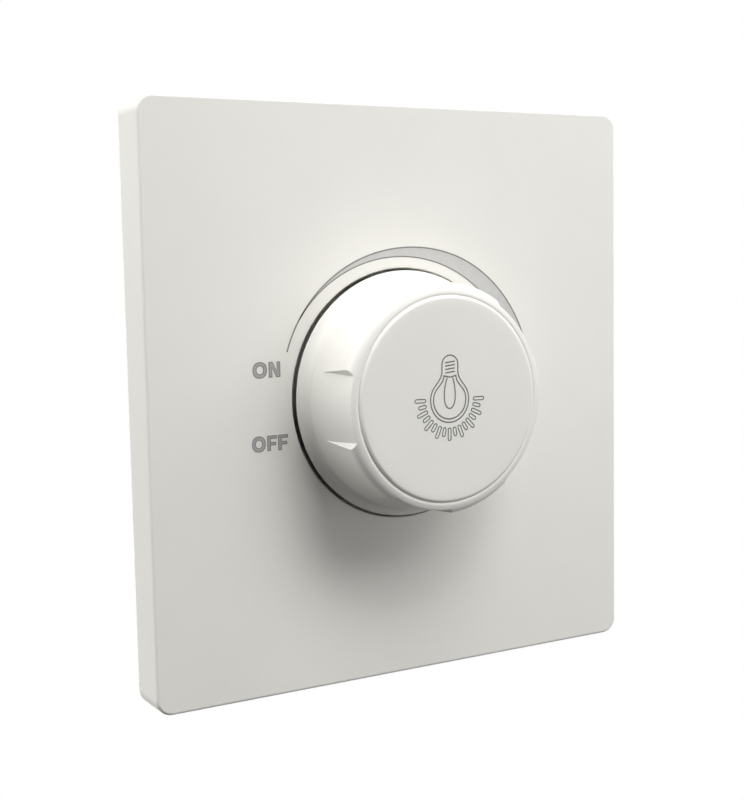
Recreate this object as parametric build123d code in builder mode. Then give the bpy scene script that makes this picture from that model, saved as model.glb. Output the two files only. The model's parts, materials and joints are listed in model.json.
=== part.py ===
"""A rotary wall dimmer: a clip-on face plate, a lobed knob and the dimmer module behind them.

Frame, in millimetres: X to the right as seen from the room, Y into the wall, Z up.
The origin is the centre of the wall plane behind the face plate. The knob turns about the Y axis.
"""

import os
from math import cos, radians, sin

from build123d import *

# Face plate
plate_width = 86.0
plate_height = 90.0
plate_depth = 7.5  # wall to front face
plate_stand_off = 0.2  # the rim stops this short of the wall
plate_front_wall = 2.0
plate_side_wall = 1.8
plate_corner_radius = 2.5
plate_inner_radius = 0.7
plate_edge_radius = 0.45
hole_radius = 19.75
hole_edge_radius = 0.2
pry_notch_width = 9.0
pry_notch_depth = 1.6

# Knob: radii, and heights in front of the plate's face
knob_rest_turn = 1.8  # degrees, how far the lobes stand turned at OFF
knob_gap = 0.37  # between the hole and the widest part of the knob
skirt_sink = 0.8  # how far the skirt reaches behind the face
skirt_foot_radius = 18.75
skirt_wall = 1.7
lip_height = 0.55
lip_land = 0.2
lip_round = 0.12
crease_radius = 17.85
crease_height = 2.4
flare_sagitta = 0.32
lobe_count = 5
lobe_front_radius = 17.55
lobe_front_height = 12.65
lobe_edge_radius = 1.6
recess_start_height = 5.3
recess_front_radius = 16.78
recess_front_height = 12.65
recess_floor_angle = 34.0  # between the walls along the recess floor
recess_mouth_angle = 39.4  # between the walls at the lobes' front edge
recess_overrun = 1.0  # how far the recess cutter runs on past both ends
recess_margin = 3.0  # degrees, how far it runs on past both walls
rim_radius = 16.05
rim_height = 13.05
rim_land = 0.25
rim_round = 0.15
rim_groove = 0.1  # how far the groove's outer wall slopes in
rim_groove_depth = 0.1
knob_web = 2.0  # thickness of the wall behind the cap
knob_inner_draft = 1.1  # how much the inside narrows towards the front
hub_radius = 5.5
hub_foot_height = 1.2
knob_rib = 1.2
knob_rib_depth = 5.0
knob_rib_overlap = 0.3
bore_extra = 0.3  # free end of the bore past the shaft

# Knob cap
cap_clearance = 0.05
cap_seat_height = 12.2
cap_face_height = 13.4
cap_crown = 1.4  # width of the zone that falls towards the edge
cap_crown_fall = 0.1
cap_edge_radius = 0.6
cap_peg_count = 3
cap_peg_radius = 1.2
cap_peg_circle = 10.0
cap_peg_length = 1.6

# Mounting frame
frame_clearance = 0.4
frame_floor = 2.4
frame_wall = 1.6
frame_wall_height = 2.8
frame_corner_radius = 1.2
frame_ring_radius = 22.0
frame_ring_wall = 1.4
frame_rib = 1.4
frame_rib_spacing = 28.0
wall_screw_spacing = 60.3
wall_slot_radius = 2.2
wall_slot_length = 7.6
housing_seat = 0.6  # recess that locates the housing
seat_clearance = 0.2
catch_spacing = 44.0
catch_width = 10.0
catch_ledge = 2.2  # ledge behind which the cover's barbs hook, from the wall
catch_depth = 1.4
barb_reach = 1.2
barb_clearance = 0.1
barb_tip_depth = 0.4

# Rear housing
housing_width = 52.0
housing_height = 52.0
housing_depth = 27.0
housing_wall = 1.8
housing_corner_radius = 3.0
housing_inner_radius = 1.2
housing_edge_radius = 1.0
post_offset = 21.5
post_radius = 3.2
step_height = 12.0  # terminal step at the lower rear
step_depth = 7.7
barrier = 1.6
vent_count = 5
vent_length = 24.0
vent_width = 2.2
vent_pitch = 5.0
vent_rise = 6.5  # height of the middle vent above the axis
ledge_width = 1.2
ledge_length = 12.0

# Housing screws
screw_radius = 1.2
screw_head_radius = 2.7
screw_head_height = 1.8
screw_length = 11.0
screw_play = 0.05
screw_hole_play = 0.3
pilot_extra = 1.0

# Potentiometer
shaft_radius = 3.0
shaft_flat = 1.5  # from the axis to the flat
shaft_flat_foot_height = 1.0
shaft_top_height = 9.6
shaft_tail_depth = 6.5
shaft_running_play = 0.05
bush_radius = 4.0
bush_length = 7.0
bush_edge = 0.4
pot_plate_radius = 11.2
pot_plate = 1.2
pot_lug_width = 2.4
pot_lug_height = 1.2
pot_lug_length = 1.0
pot_lug_circle = 8.6
panel_play = 0.1
washer_radius = 7.2
washer_thickness = 0.5
nut_across_flats = 11.0
nut_thickness = 2.2
clip_radius = 4.0
clip_thickness = 0.45
clip_groove_radius = 2.4
clip_gap = 0.12
clip_opening = 3.6
wafer_thickness = 1.2
wafer_hole_radius = 4.4
wafer_tail_width = 15.0
wafer_tail_drop = 15.4
wiper_lift = 0.12
wiper_thickness = 0.3
wiper_inner_radius = 4.8
wiper_outer_radius = 7.0
wiper_finger_width = 1.6
wiper_finger_radius = 9.0
rotor_radius = 9.5
rotor_depth = 2.6  # rotor's front face, behind the wall plane
rotor_thickness = 2.2
drive_peg_radius = 1.0
drive_peg_circle = 6.2
drive_peg_length = 4.6
can_wall = 0.5
can_play = 0.15
can_depth = 8.0
can_window_radius = 8.6
tag_pitch = 5.0
tag_width = 1.4
tag_thickness = 0.5
tag_drop = 14.6

# Snap switch behind the potentiometer
switch_radius = 10.6
switch_edge_radius = 0.6
switch_groove_depth = 2.6
switch_groove_inner = 4.2
switch_groove_outer = 8.2
switch_tag_offset = 7.4

# Circuit board and what stands on it
board_gap = 0.4  # behind the switch case
board_thickness = 1.6
board_play = 0.6
board_notch = 7.4
lead_radius = 0.4
lead_play = 0.15
lead_proud = 0.7
lead_room = 0.6  # between the leads' tips and the terminal step
sink_thickness = 2.0
sink_width = 20.0
sink_height = 10.4
sink_centre = (-6.5, 18.2)
sink_corner_radius = 0.8
triac_width = 10.0
triac_tab_thickness = 1.3
triac_tab_length = 6.4
triac_body_length = 9.0
triac_body_height = 3.1
triac_edge = 0.4
triac_leg_pitch = 2.54
triac_leg_width = 0.8
triac_leg_thickness = 0.5
triac_leg_reach = 3.6
triac_screw_radius = 1.5
triac_screw_head_radius = 2.75
triac_screw_head_height = 2.0
triac_nut_across_flats = 5.5
triac_nut_thickness = 2.4
choke_centre = (-18.3, 0.0)
choke_radius = 5.0
choke_core_radius = 2.4
choke_flange = 1.2
choke_length = 11.0
winding_play = 0.05
winding_inset = 0.4
film_cap_centre = (18.2, 0.0)
film_cap_width = 9.0
film_cap_height = 16.0
film_cap_depth = 11.0
film_cap_corner_radius = 0.6
film_cap_lead_pitch = 10.0
timing_cap_offset = (12.0, -16.2)
timing_cap_radius = 3.2
timing_cap_thickness = 2.6
timing_cap_rise = 0.8
timing_cap_lead_pitch = 4.0
axial_row = -21.6  # height of the row of axial parts below the axis
resistor_offset = 11.0
resistor_radius = 1.2
resistor_length = 6.0
diac_radius = 0.95
diac_length = 3.9
fuse_centre = (12.4, 18.0)
fuse_radius = 2.0
fuse_length = 6.2
axial_lead_reach = 1.3
axial_rise = 0.4

# Wire terminals
terminal_width = 7.0
terminal_height = 6.8
terminal_depth = 7.1
terminal_play = 0.2
terminal_drop = 1.2  # below the step's upper wall
wire_radius = 1.7
wire_hole_depth = 6.0
terminal_tag_width = 2.6
terminal_tag_thickness = 0.8
terminal_tag_play = 0.3
terminal_screw_radius = 1.6
terminal_screw_head_radius = 2.9
terminal_screw_head_height = 2.2
terminal_slot_width = 0.9
terminal_slot_depth = 1.1
terminal_screw_gap = 1.4  # between the clamp screws' heads and the step's floor
terminal_screw_stop = 0.15  # free of the wire hole when open

# Worked out from the sizes above
face_depth = -plate_depth
frame_width = plate_width - 2 * (plate_side_wall + frame_clearance)
frame_height = plate_height - 2 * (plate_side_wall + frame_clearance)
lip_radius = hole_radius - knob_gap
seat_depth = -housing_seat
panel_front = -frame_floor
knob_inner_back = skirt_foot_radius - skirt_wall
knob_inner_front = knob_inner_back - knob_inner_draft
cap_radius = rim_radius - rim_land - rim_groove - cap_clearance
can_radius = pot_plate_radius + can_play + can_wall
wafer_front = seat_depth + pot_plate
wafer_back = wafer_front + wafer_thickness
step_floor = housing_depth - step_depth
step_floor_inside = step_floor - housing_wall
lead_tip = step_floor_inside - lead_room
board_back = lead_tip - lead_proud
board_front = board_back - board_thickness
switch_back = board_front - board_gap
switch_depth = switch_back - can_depth  # the case fills the room between can and board
step_top = -housing_height / 2 + step_height
inner_width = housing_width - 2 * housing_wall
inner_height = housing_height - 2 * housing_wall
board_width = inner_width - 2 * board_play
board_height = inner_height - 2 * board_play
clip_front = seat_depth - bush_length - clip_gap
terminal_pitch = terminal_width + 2 * terminal_play + barrier
terminal_screw_depth = step_floor + terminal_screw_head_radius + terminal_screw_gap
terminal_top = step_top - terminal_drop
terminal_centre = terminal_top - terminal_height / 2
screw_sites = [(x, z) for x in (-post_offset, post_offset) for z in (-post_offset, post_offset)]
terminal_sites = [(-terminal_pitch / 2, terminal_centre), (terminal_pitch / 2, terminal_centre)]
tag_slot_width = terminal_tag_width + 2 * terminal_tag_play
tag_slot_height = terminal_tag_thickness + 2 * terminal_tag_play
switch_tag_sites = [(-switch_tag_offset, 0), (switch_tag_offset, 0)]
sink_front = board_front - sink_thickness
package_back = sink_front - triac_tab_thickness
triac_end = sink_centre[0] + sink_width / 2  # where the triac's legs leave its package
triac_start = triac_end - triac_body_length - triac_tab_length
triac_hole = (triac_start + triac_tab_length / 2, sink_centre[1])
triac_leg_sites = [(triac_end + triac_leg_reach, sink_centre[1] + n * triac_leg_pitch) for n in (-1, 0, 1)]
winding_tail = winding_inset + lead_radius + lead_play + choke_core_radius / 2
choke_lead_offset = choke_radius + lead_radius + lead_play
choke_lead_sites = [(choke_centre[0], choke_centre[1] + n * choke_lead_offset) for n in (-1, 1)]
film_cap_lead_reach = film_cap_lead_pitch / 2
film_cap_lead_sites = [(film_cap_centre[0], film_cap_centre[1] + n * film_cap_lead_reach) for n in (-1, 1)]
timing_cap_lead_sites = [
    (side * timing_cap_offset[0] + n * timing_cap_lead_pitch / 2, timing_cap_offset[1])
    for side in (-1, 1)
    for n in (-1, 1)
]


def axial_lead_sites(centre, length, along_x):
    """Where the two leads of a part that lies along the board go through it."""
    reach = length / 2 + axial_lead_reach
    return [(centre[0] + n * reach * along_x, centre[1] + n * reach * (not along_x)) for n in (-1, 1)]


lead_sites = [
    *triac_leg_sites,
    *choke_lead_sites,
    *film_cap_lead_sites,
    *timing_cap_lead_sites,
    *axial_lead_sites((-resistor_offset, axial_row), resistor_length, True),
    *axial_lead_sites((resistor_offset, axial_row), resistor_length, True),
    *axial_lead_sites((0, axial_row), diac_length, True),
    *axial_lead_sites(fuse_centre, fuse_length, False),
]


def facing_out(depth):
    """Plane parallel to the wall at a depth, seen from the room: x right, y up, normal outwards."""
    return Plane.XZ.offset(-depth)


def above_face(height):
    """Depth of a point that stands a height in front of the plate's face."""
    return face_depth - height


def spoke(azimuth):
    """Plane through the knob's axis: x along the radius at an azimuth, y along the axis."""
    turn = radians(azimuth)
    return Plane(origin=(0, 0, 0), x_dir=(cos(turn), 0, sin(turn)), z_dir=(-sin(turn), 0, cos(turn)))


def around(radius, azimuth, height):
    """Point at a radius and an azimuth about the knob's axis, a height in front of the plate's face."""
    turn = radians(azimuth)
    return Vector(radius * cos(turn), above_face(height), radius * sin(turn))


def across_flats(width):
    """Corner radius of a hexagon of a given width across its flats."""
    return width / 2 / cos(radians(30))


os.makedirs("parts", exist_ok=True)

# Face plate: an open-backed shell with the knob opening, four barbs and a pry notch
with BuildPart() as face_plate:
    with BuildSketch(facing_out(-plate_stand_off)):
        RectangleRounded(plate_width, plate_height, plate_corner_radius)
    extrude(amount=plate_depth - plate_stand_off)
    fillet(face_plate.faces().sort_by(Axis.Y)[0].edges(), plate_edge_radius)
    with BuildSketch(facing_out(-plate_stand_off)):
        RectangleRounded(
            plate_width - 2 * plate_side_wall,
            plate_height - 2 * plate_side_wall,
            plate_inner_radius,
        )
    extrude(amount=plate_depth - plate_stand_off - plate_front_wall, mode=Mode.SUBTRACT)
    with BuildSketch(facing_out(face_depth)):
        Circle(hole_radius)
    extrude(amount=-plate_front_wall, mode=Mode.SUBTRACT)
    opening = face_plate.edges().filter_by(GeomType.CIRCLE).group_by(Axis.Y)[0]
    fillet(opening.filter_by(lambda edge: abs(edge.radius - hole_radius) < 1e-6), hole_edge_radius)
    with BuildSketch(Plane.XY.offset(-plate_height / 2)):
        with Locations((0, -plate_stand_off - pry_notch_depth / 2)):
            Rectangle(pry_notch_width, pry_notch_depth)
    extrude(amount=plate_side_wall, mode=Mode.SUBTRACT)
    barb_root = plate_height / 2 - plate_side_wall
    barb_catch = -catch_ledge + barb_clearance
    for side in (-1, 1):
        for x in (-catch_spacing / 2, catch_spacing / 2):
            with BuildSketch(Plane.YZ.offset(x - catch_width / 2)):
                Polygon(
                    (barb_catch, side * barb_root),
                    (barb_catch, side * (barb_root - barb_reach)),
                    (-barb_tip_depth, side * barb_root),
                    align=None,
                )
            extrude(amount=catch_width)
face_plate.part.label = "face_plate"
export_step(face_plate.part, "parts/face_plate.step")

# Grip recess: the space outside a cone that falls away from the barrel, between walls that lean outwards
with BuildPart() as grip_recess:
    recess_slope = (lobe_front_radius - crease_radius) / (lobe_front_height - crease_height)
    recess_start_radius = crease_radius + recess_slope * (recess_start_height - crease_height)
    recess_fall = (recess_start_radius - recess_front_radius) / (recess_front_height - recess_start_height)
    recess_back = recess_start_height - recess_overrun
    recess_end = cap_face_height + recess_overrun
    recess_end_radius = recess_front_radius - recess_fall * (recess_end - recess_front_height)
    with BuildSketch(spoke(recess_mouth_angle / 2 + recess_margin)):
        Polygon(
            (recess_start_radius + recess_fall * recess_overrun, above_face(recess_back)),
            (recess_end_radius, above_face(recess_end)),
            (hole_radius, above_face(recess_end)),
            (hole_radius, above_face(recess_back)),
            align=None,
        )
    revolve(axis=Axis.Y, revolution_arc=recess_mouth_angle + 2 * recess_margin)
    for side in (-1, 1):
        wall_foot = around(recess_start_radius, side * recess_floor_angle / 2, recess_start_height)
        wall_front = around(recess_front_radius, side * recess_floor_angle / 2, recess_front_height)
        wall_mouth = around(lobe_front_radius, side * recess_mouth_angle / 2, lobe_front_height)
        wall_normal = (wall_foot - wall_front).cross(wall_mouth - wall_front) * side
        split(bisect_by=Plane(origin=wall_front, z_dir=wall_normal), keep=Keep.TOP)

# Knob body: flared skirt, lobed barrel, rim, inner web with ribs, and the hub on the shaft
with BuildPart() as knob_body:
    with BuildSketch(Plane.XY) as knob_section:
        lobe_corner = (lobe_front_radius, above_face(lobe_front_height))
        with BuildLine():
            foot = (skirt_foot_radius, above_face(-skirt_sink))
            lip_foot = (lip_radius, above_face(lip_height))
            lip_top = (lip_radius, above_face(lip_height + lip_land))
            crease = (crease_radius, above_face(crease_height))
            rim_outer = (rim_radius, above_face(rim_height))
            rim_inner = (rim_radius - rim_land, above_face(rim_height))
            socket_top = (cap_radius + cap_clearance, above_face(rim_height - rim_groove_depth))
            socket_foot = (cap_radius + cap_clearance, above_face(cap_seat_height))
            web_back = above_face(cap_seat_height - knob_web)
            Polyline(foot, (skirt_foot_radius, above_face(0)), lip_foot, lip_top)
            SagittaArc(lip_top, crease, -flare_sagitta)
            Polyline(crease, lobe_corner, rim_outer, rim_inner, socket_top, socket_foot)
            Polyline(socket_foot, (0, above_face(cap_seat_height)), (0, web_back))
            Polyline((0, web_back), (knob_inner_front, web_back), (knob_inner_back, foot[1]), foot)
        make_face()
        fillet(knob_section.vertices().sort_by_distance(lobe_corner)[0], lobe_edge_radius)
        fillet(knob_section.vertices().sort_by_distance(lip_top)[0], lip_round)
        fillet(knob_section.vertices().sort_by_distance(rim_outer)[0], rim_round)
        fillet(knob_section.vertices().sort_by_distance(rim_inner)[0], rim_round)
    revolve(axis=Axis.Y)
    for n in range(lobe_count):
        recess_azimuth = knob_rest_turn + (n + 0.5) * 360 / lobe_count
        add(grip_recess.part.rotate(Axis.Y, -recess_azimuth), mode=Mode.SUBTRACT)
    with BuildSketch(facing_out(above_face(hub_foot_height))):
        Circle(hub_radius)
    extrude(amount=cap_seat_height - knob_web - hub_foot_height)
    with BuildSketch(facing_out(web_back + knob_rib_depth)):
        with PolarLocations(0, lobe_count, start_angle=knob_rest_turn):
            with Locations(((hub_radius + knob_inner_front) / 2, 0)):
                Rectangle(knob_inner_front - hub_radius + 2 * knob_rib_overlap, knob_rib)
    extrude(amount=knob_rib_depth)
    with BuildSketch(facing_out(above_face(hub_foot_height))) as bore:
        Circle(shaft_radius + shaft_running_play)
        with Locations((0, shaft_flat + shaft_running_play + hub_radius / 2)):
            Rectangle(2 * hub_radius, hub_radius, mode=Mode.SUBTRACT)
    extrude(amount=shaft_top_height + bore_extra - hub_foot_height, mode=Mode.SUBTRACT)
    with BuildSketch(facing_out(above_face(cap_seat_height))):
        with PolarLocations(cap_peg_circle, cap_peg_count, start_angle=90 + knob_rest_turn):
            Circle(cap_peg_radius + cap_clearance)
    extrude(amount=-knob_web, mode=Mode.SUBTRACT)
knob_body.part.label = "knob_body"
export_step(knob_body.part, "parts/knob_body.step")

# Knob cap: a disc that falls a little towards its rounded edge, on three pegs
with BuildPart() as knob_cap:
    with BuildSketch(Plane.XY) as cap_section:
        with BuildLine():
            crown_start = (cap_radius - cap_crown, above_face(cap_face_height))
            crown_end = (cap_radius, above_face(cap_face_height - cap_crown_fall))
            TangentArc(crown_start, crown_end, tangent=(1, 0))
            Polyline(
                crown_end,
                (cap_radius, above_face(cap_seat_height)),
                (0, above_face(cap_seat_height)),
                (0, above_face(cap_face_height)),
                crown_start,
            )
        make_face()
        fillet(cap_section.vertices().sort_by_distance(crown_end)[0], cap_edge_radius)
    revolve(axis=Axis.Y)
    with BuildSketch(facing_out(above_face(cap_seat_height))):
        with PolarLocations(cap_peg_circle, cap_peg_count, start_angle=90 + knob_rest_turn):
            Circle(cap_peg_radius)
    extrude(amount=-cap_peg_length)
knob_cap.part.label = "knob_cap"
export_step(knob_cap.part, "parts/knob_cap.step")

# Mounting frame: floor on the wall, stiffening walls, screw slots, housing seat and catches
with BuildPart() as mounting_frame:
    with BuildSketch(facing_out(0)):
        RectangleRounded(frame_width, frame_height, frame_corner_radius)
    extrude(amount=frame_floor)
    with BuildSketch(facing_out(panel_front)):
        RectangleRounded(frame_width, frame_height, frame_corner_radius)
        RectangleRounded(
            frame_width - 2 * frame_wall,
            frame_height - 2 * frame_wall,
            frame_corner_radius / 2,
            mode=Mode.SUBTRACT,
        )
        with Locations((-frame_rib_spacing / 2, 0), (frame_rib_spacing / 2, 0)):
            Rectangle(frame_rib, frame_height - frame_wall)
        with Locations((0, -frame_rib_spacing / 2), (0, frame_rib_spacing / 2)):
            Rectangle(frame_width - frame_wall, frame_rib)
        Circle(frame_ring_radius + frame_ring_wall)
        Circle(frame_ring_radius, mode=Mode.SUBTRACT)
    extrude(amount=frame_wall_height)
    with BuildSketch(facing_out(panel_front)):
        with Locations((-wall_screw_spacing / 2, 0), (wall_screw_spacing / 2, 0)):
            SlotOverall(wall_slot_length, 2 * wall_slot_radius)
        with Locations(*screw_sites):
            Circle(screw_radius + screw_hole_play)
        Circle(bush_radius + panel_play)
        with Locations((0, pot_lug_circle)):
            Rectangle(pot_lug_width + 2 * panel_play, pot_lug_height + 2 * panel_play)
    extrude(amount=-frame_floor, mode=Mode.SUBTRACT)
    with BuildSketch(facing_out(0)):
        RectangleRounded(
            housing_width + 2 * seat_clearance,
            housing_height + 2 * seat_clearance,
            housing_corner_radius + seat_clearance,
        )
    extrude(amount=housing_seat, mode=Mode.SUBTRACT)
    with BuildSketch(facing_out(0)):
        with GridLocations(catch_spacing, frame_height - catch_depth, 2, 2):
            Rectangle(catch_width + 2 * frame_clearance, catch_depth)
    extrude(amount=catch_ledge, mode=Mode.SUBTRACT)
mounting_frame.part.label = "mounting_frame"
export_step(mounting_frame.part, "parts/mounting_frame.step")

# Rear housing: a deep tray with screw posts, board ledges, vents and the terminal step
with BuildPart() as rear_housing:
    with BuildSketch(facing_out(housing_depth)):
        RectangleRounded(housing_width, housing_height, housing_corner_radius)
    extrude(amount=housing_depth - seat_depth)
    fillet(rear_housing.faces().sort_by(Axis.Y)[-1].edges(), housing_edge_radius)
    with BuildSketch(facing_out(step_floor_inside)):
        RectangleRounded(inner_width, inner_height, housing_inner_radius)
    extrude(amount=step_floor_inside - seat_depth, mode=Mode.SUBTRACT)
    with BuildSketch(facing_out(housing_depth)):
        with Locations((0, step_top - step_height / 2)):
            Rectangle(housing_width, step_height)
    extrude(amount=step_depth, mode=Mode.SUBTRACT)
    upper_foot = step_top + housing_wall
    with BuildSketch(facing_out(housing_depth - housing_wall)):
        with Locations((0, (upper_foot + inner_height / 2) / 2)):
            Rectangle(inner_width, inner_height / 2 - upper_foot)
    extrude(amount=step_depth, mode=Mode.SUBTRACT)
    for height, back in ((post_offset, housing_depth - housing_wall), (-post_offset, step_floor_inside)):
        with BuildSketch(facing_out(back)):
            with Locations((-post_offset, height), (post_offset, height)):
                Circle(post_radius)
        extrude(amount=back - seat_depth)
    with BuildSketch(facing_out(seat_depth)):
        with Locations(*screw_sites):
            Circle(screw_radius + screw_play)
    extrude(amount=-(screw_length + pilot_extra), mode=Mode.SUBTRACT)
    ledge_x = (inner_width - ledge_width) / 2
    ledge_z = (inner_height - ledge_width) / 2
    with BuildSketch(facing_out(housing_depth - housing_wall)):
        with Locations((-ledge_x, 0), (ledge_x, 0)):
            Rectangle(ledge_width, ledge_length)
        with Locations((0, ledge_z)):
            Rectangle(ledge_length, ledge_width)
    extrude(amount=housing_depth - housing_wall - board_back)
    with BuildSketch(facing_out(step_floor_inside)):
        with Locations((0, -ledge_z)):
            Rectangle(ledge_length, ledge_width)
    extrude(amount=step_floor_inside - board_back)
    with BuildSketch(facing_out(housing_depth)):
        with Locations(*[(n * terminal_pitch, step_top - step_height / 2) for n in (-1, 0, 1)]):
            Rectangle(barrier, step_height)
    extrude(amount=step_depth)
    with BuildSketch(facing_out(step_floor)):
        with Locations(*terminal_sites):
            Rectangle(tag_slot_width, tag_slot_height)
    extrude(amount=housing_wall, mode=Mode.SUBTRACT)
    with BuildSketch(facing_out(housing_depth)):
        with Locations((0, vent_rise)):
            with GridLocations(0, vent_pitch, 1, vent_count):
                SlotOverall(vent_length, vent_width)
    extrude(amount=housing_wall, mode=Mode.SUBTRACT)
rear_housing.part.label = "rear_housing"
export_step(rear_housing.part, "parts/rear_housing.step")

# Housing screws: pan heads on the frame's floor, shanks in the housing's posts
with BuildPart() as housing_screws:
    with BuildSketch(facing_out(panel_front)):
        with Locations(*screw_sites):
            Circle(screw_head_radius)
    extrude(amount=screw_head_height)
    with BuildSketch(facing_out(panel_front)):
        with Locations(*screw_sites):
            Circle(screw_radius)
    extrude(amount=-(screw_length + frame_floor - housing_seat))
housing_screws.part.label = "housing_screws"
export_step(housing_screws.part, "parts/housing_screws.step")

# Potentiometer shaft: running part, clip groove and the flat that drives the knob
with BuildPart() as pot_shaft:
    with BuildSketch(Plane.XY):
        with BuildLine():
            Polyline(
                (0, shaft_tail_depth),
                (shaft_radius, shaft_tail_depth),
                (shaft_radius, clip_front),
                (clip_groove_radius, clip_front),
                (clip_groove_radius, clip_front - clip_thickness - clip_gap),
                (shaft_radius, clip_front - clip_thickness - clip_gap),
                (shaft_radius, above_face(shaft_top_height)),
                (0, above_face(shaft_top_height)),
                close=True,
            )
        make_face()
    revolve(axis=Axis.Y)
    with BuildSketch(facing_out(above_face(shaft_flat_foot_height))):
        with Locations((0, shaft_flat + shaft_radius / 2)):
            Rectangle(2 * shaft_radius, shaft_radius)
    extrude(amount=shaft_top_height - shaft_flat_foot_height, mode=Mode.SUBTRACT)
pot_shaft.part.label = "pot_shaft"
export_step(pot_shaft.part, "parts/pot_shaft.step")

# Shaft clip: an open ring in the shaft's groove, just in front of the bush
with BuildPart() as shaft_clip:
    with BuildSketch(facing_out(clip_front)):
        Circle(clip_radius)
        Circle(clip_groove_radius + shaft_running_play, mode=Mode.SUBTRACT)
        with Locations((0, -clip_radius / 2)):
            Rectangle(clip_opening, clip_radius, mode=Mode.SUBTRACT)
    extrude(amount=clip_thickness)
shaft_clip.part.label = "shaft_clip"
export_step(shaft_clip.part, "parts/shaft_clip.step")

# Potentiometer bush with its front plate and the lug that stops it turning in the frame
with BuildPart() as pot_bush:
    with BuildSketch(facing_out(wafer_front)):
        Circle(pot_plate_radius)
    extrude(amount=pot_plate)
    with BuildSketch(facing_out(seat_depth)):
        Circle(bush_radius)
    extrude(amount=bush_length)
    chamfer(pot_bush.faces().sort_by(Axis.Y)[0].edges(), bush_edge)
    with BuildSketch(facing_out(seat_depth)):
        with Locations((0, pot_lug_circle)):
            Rectangle(pot_lug_width, pot_lug_height)
    extrude(amount=pot_lug_length)
    with BuildSketch(facing_out(wafer_front)):
        Circle(shaft_radius + shaft_running_play)
    extrude(amount=pot_plate + bush_length, mode=Mode.SUBTRACT)
pot_bush.part.label = "pot_bush"
export_step(pot_bush.part, "parts/pot_bush.step")

# Washer and nut that clamp the bush to the frame
with BuildPart() as pot_washer:
    with BuildSketch(facing_out(panel_front)):
        Circle(washer_radius)
        Circle(bush_radius + panel_play, mode=Mode.SUBTRACT)
    extrude(amount=washer_thickness)
pot_washer.part.label = "pot_washer"
export_step(pot_washer.part, "parts/pot_washer.step")

with BuildPart() as pot_nut:
    with BuildSketch(facing_out(panel_front - washer_thickness)):
        RegularPolygon(across_flats(nut_across_flats), 6)
        Circle(bush_radius + screw_play, mode=Mode.SUBTRACT)
    extrude(amount=nut_thickness)
pot_nut.part.label = "pot_nut"
export_step(pot_nut.part, "parts/pot_nut.step")

# Resistance wafer: a disc with a tail for the terminals
with BuildPart() as pot_wafer:
    with BuildSketch(facing_out(wafer_back)):
        Circle(pot_plate_radius)
        with Locations((0, -wafer_tail_drop / 2)):
            Rectangle(wafer_tail_width, wafer_tail_drop)
        Circle(wafer_hole_radius, mode=Mode.SUBTRACT)
    extrude(amount=wafer_thickness)
pot_wafer.part.label = "pot_wafer"
export_step(pot_wafer.part, "parts/pot_wafer.step")

# Wafer terminals: strips on the tail that turn back and run to the board
with BuildPart() as pot_terminals:
    strip_top = -can_radius - lead_proud
    strip_foot = -tag_drop - tag_thickness / 2
    tag_columns = [n * tag_pitch for n in (-1, 0, 1)]
    with BuildSketch(facing_out(wafer_back + tag_thickness)):
        with Locations(*[(x, (strip_top + strip_foot) / 2) for x in tag_columns]):
            Rectangle(tag_width, strip_top - strip_foot)
    extrude(amount=tag_thickness)
    with BuildSketch(facing_out(lead_tip)):
        with Locations(*[(x, -tag_drop) for x in tag_columns]):
            Rectangle(tag_width, tag_thickness)
    extrude(amount=lead_tip - wafer_back)
pot_terminals.part.label = "pot_terminals"
export_step(pot_terminals.part, "parts/pot_terminals.step")

# Rotor on the shaft's tail, with the peg that throws the switch
with BuildPart() as pot_rotor:
    with BuildSketch(facing_out(rotor_depth + rotor_thickness)):
        Circle(rotor_radius)
    extrude(amount=rotor_thickness)
    with BuildSketch(facing_out(rotor_depth + rotor_thickness)):
        with Locations((-drive_peg_circle, 0)):
            Circle(drive_peg_radius)
    extrude(amount=-drive_peg_length)
    with BuildSketch(facing_out(rotor_depth)):
        Circle(shaft_radius + shaft_running_play)
    extrude(amount=-rotor_thickness, mode=Mode.SUBTRACT)
pot_rotor.part.label = "pot_rotor"
export_step(pot_rotor.part, "parts/pot_rotor.step")

# Wiper: a spring ring on the rotor with a finger on the wafer
with BuildPart() as pot_wiper:
    with BuildSketch(facing_out(rotor_depth)):
        Circle(wiper_outer_radius)
        Circle(wiper_inner_radius, mode=Mode.SUBTRACT)
    extrude(amount=wiper_thickness)
    finger_foot = (wiper_inner_radius + wiper_outer_radius) / 2
    with BuildSketch(facing_out(rotor_depth)):
        with Locations(((finger_foot + wiper_finger_radius) / 2, 0)):
            Rectangle(wiper_finger_radius - finger_foot, wiper_finger_width)
    extrude(amount=rotor_depth - wafer_back - wiper_lift)
pot_wiper.part.label = "pot_wiper"
export_step(pot_wiper.part, "parts/pot_wiper.step")

# Potentiometer cover: a drawn can with a window for the drive peg and a slot for the tail
with BuildPart() as pot_cover:
    with BuildSketch(facing_out(can_depth)):
        Circle(can_radius)
    extrude(amount=can_depth - seat_depth)
    with BuildSketch(facing_out(can_depth - can_wall)):
        Circle(can_radius - can_wall)
    extrude(amount=can_depth - can_wall - seat_depth, mode=Mode.SUBTRACT)
    with BuildSketch(facing_out(can_depth)):
        Circle(can_window_radius)
    extrude(amount=can_wall, mode=Mode.SUBTRACT)
    with BuildSketch(facing_out(wafer_back + can_play)):
        with Locations((0, -can_radius)):
            Rectangle(wafer_tail_width + 2 * can_play, can_radius)
    extrude(amount=wafer_back + can_play - seat_depth, mode=Mode.SUBTRACT)
pot_cover.part.label = "pot_cover"
export_step(pot_cover.part, "parts/pot_cover.step")

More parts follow.
